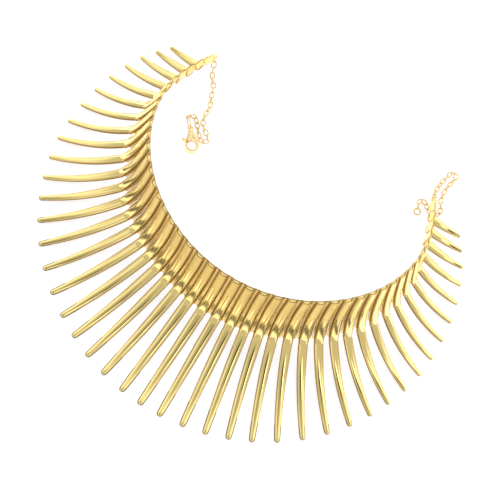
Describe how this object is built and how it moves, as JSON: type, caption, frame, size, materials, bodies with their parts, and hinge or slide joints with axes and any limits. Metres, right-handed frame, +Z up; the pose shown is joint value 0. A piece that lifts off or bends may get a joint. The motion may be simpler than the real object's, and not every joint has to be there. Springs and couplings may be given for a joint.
{
  "type": "collar necklace",
  "caption": "Gold-tone metal collar necklace of graduated curved spikes, lying open, with a lobster clasp on a short chain and an extension chain.",
  "frame": {"origin": "bottom centre of the whole necklace as it lies, on the surface it lies on", "axes": "+X from the wearer's clasp side to the extension side, +Y from the front spikes towards the nape, +Z up"},
  "size_m": [0.1918, 0.1744, 0.0404],
  "materials": {
    "collar_metal": "polished gold-tone plating",
    "chain_metal": "polished gold-tone plating",
    "clasp_metal": "polished gold-tone plating",
    "ring_metal": "polished gold-tone plating"
  },
  "bodies": {
    "necklace": {"clasp_body": "clasp_metal", "clasp_chain": "chain_metal", "clasp_ring": "ring_metal", "end_piece_left": "collar_metal", "end_piece_right": "collar_metal", "end_ring": "ring_metal", "extension_chain": "chain_metal", "jump_ring_left": "ring_metal", "jump_ring_right": "ring_metal", "spike_link_01": "collar_metal", "spike_link_02": "collar_metal", "spike_link_03": "collar_metal", "spike_link_04": "collar_metal", "spike_link_05": "collar_metal", "spike_link_06": "collar_metal", "spike_link_07": "collar_metal", "spike_link_08": "collar_metal", "spike_link_09": "collar_metal", "spike_link_10": "collar_metal", "spike_link_11": "collar_metal", "spike_link_12": "collar_metal", "spike_link_13": "collar_metal", "spike_link_14": "collar_metal", "spike_link_15": "collar_metal", "spike_link_16": "collar_metal", "spike_link_17": "collar_metal", "spike_link_18": "collar_metal", "spike_link_19": "collar_metal", "spike_link_20": "collar_metal", "spike_link_21": "collar_metal", "spike_link_22": "collar_metal", "spike_link_23": "collar_metal", "spike_link_24": "collar_metal", "spike_link_25": "collar_metal", "spike_link_26": "collar_metal", "spike_link_27": "collar_metal", "spike_link_28": "collar_metal", "spike_link_29": "collar_metal", "spike_link_30": "collar_metal", "spike_link_31": "collar_metal", "spike_link_32": "collar_metal", "spike_link_33": "collar_metal", "spike_link_34": "collar_metal", "spike_link_35": "collar_metal", "spike_link_36": "collar_metal", "spike_link_37": "collar_metal", "spike_link_38": "collar_metal", "spike_link_39": "collar_metal", "spike_link_40": "collar_metal", "spike_link_41": "collar_metal", "spike_link_42": "collar_metal", "spike_link_43": "collar_metal"},
    "clasp_lever": {"clasp_lever": "clasp_metal"}
  },
  "joints": [
    {"name": "clasp_lever_pivot", "type": "hinge", "parent": "necklace", "child": "clasp_lever", "pos_m": [-0.04734, 0.02654, 0.00164], "axis": [0, 0, 1], "range_deg": [0, 28], "stiffness_Nm_per_rad": 0.001, "springref_deg": -28.65}
  ]
}
